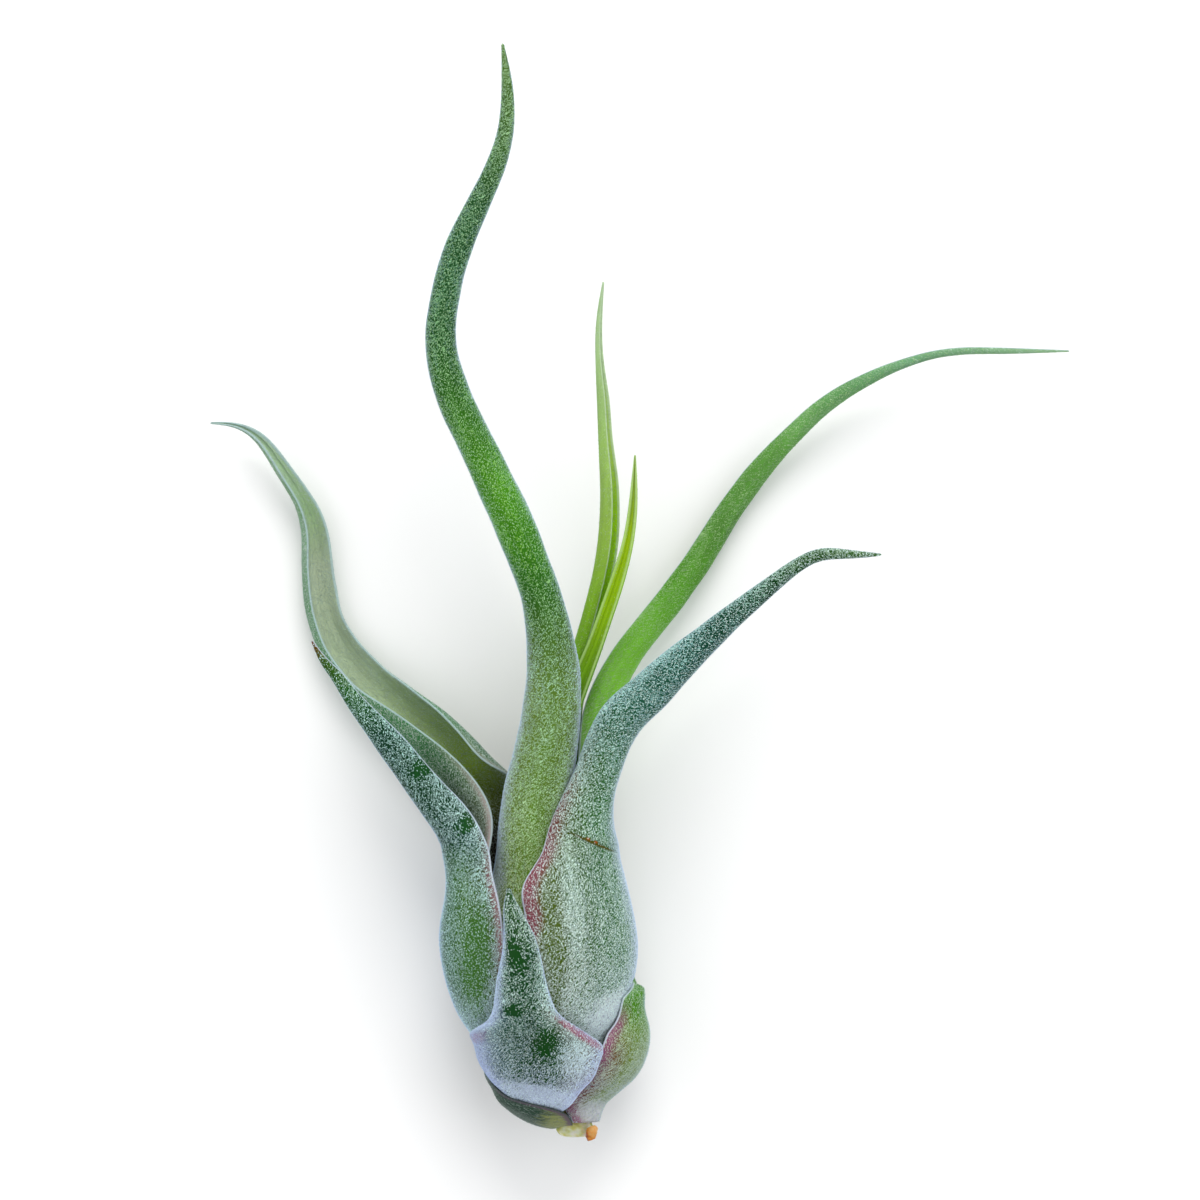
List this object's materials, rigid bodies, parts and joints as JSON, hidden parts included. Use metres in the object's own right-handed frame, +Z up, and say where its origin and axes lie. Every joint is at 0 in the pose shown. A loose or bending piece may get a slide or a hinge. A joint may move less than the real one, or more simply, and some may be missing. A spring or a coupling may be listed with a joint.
{
  "type": "tillandsia air plant",
  "caption": "Small air plant lying on its back: swollen bulb of wrapped leaf sheaths, drawn out into rolled, curving, silvery green leaves.",
  "frame": {"origin": "middle of the flat spot under the bulb, on the surface the plant lies on", "axes": "+Y along the plant from the cut root end to the leaf tips, +Z up from the surface, +X to the right seen from above"},
  "size_m": [0.1036, 0.1307, 0.0257],
  "materials": {
    "leaf_mid_green": "satin, with silvery scales",
    "leaf_grass_green": "satin, with silvery scales",
    "leaf_silver_green": "mealy, dense silvery scales",
    "leaf_dark_silver": "mealy, dense silvery scales",
    "leaf_pale_green": "satin",
    "stem": "matte",
    "dried_root": "dry, matte"
  },
  "bodies": {
    "root": {"leaf_centre": "leaf_mid_green", "leaf_right_long": "leaf_grass_green", "leaf_right_short": "leaf_silver_green", "leaf_left_channelled": "leaf_silver_green", "leaf_left_short": "leaf_dark_silver", "leaf_front_short": "leaf_dark_silver", "leaf_base_right": "leaf_grass_green", "leaf_base_left": "leaf_dark_silver", "leaf_back_long": "leaf_pale_green", "leaf_youngest": "leaf_pale_green", "stem": "stem", "root_stub": "dried_root"}
  },
  "joints": []
}
